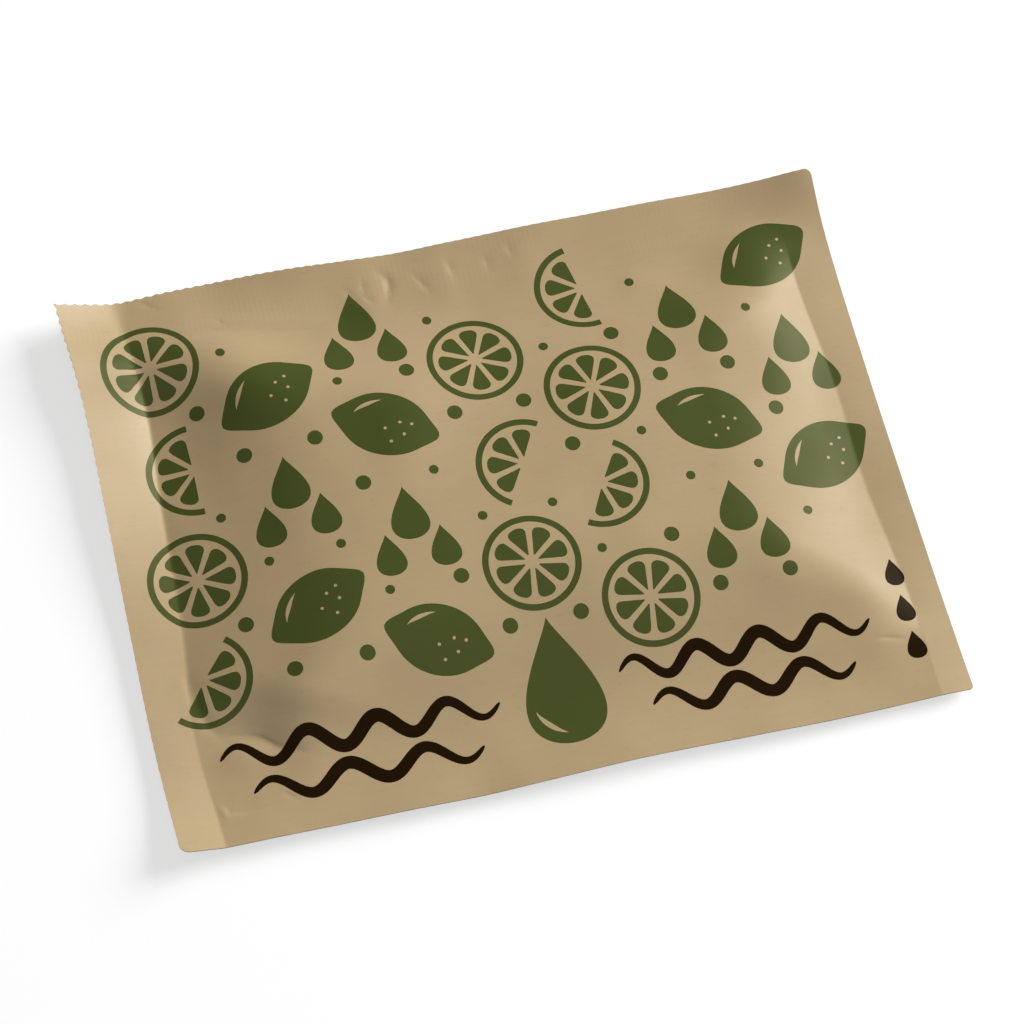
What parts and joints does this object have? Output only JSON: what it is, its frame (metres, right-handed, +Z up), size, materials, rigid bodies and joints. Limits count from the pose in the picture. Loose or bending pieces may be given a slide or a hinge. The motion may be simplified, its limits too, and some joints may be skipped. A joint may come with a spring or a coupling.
{
  "type": "wet wipe sachet",
  "caption": "Flat sachet of brown paper-faced film, sealed on four sides round one folded moist towelette, with zigzag cut edges and softly curled corners.",
  "frame": {"origin": "on the surface that the sachet lies on, under the middle of its outline", "axes": "+X along the long side to the right as the print is read, +Y along the short side to the top, +Z up out of the printed front"},
  "size_m": [0.0812, 0.0604, 0.0038],
  "materials": {
    "kraft_film": "satin brown paper-faced film, printed in dark green and near-black brown on the front"
  },
  "bodies": {
    "root": {"sachet": "kraft_film"}
  },
  "joints": []
}
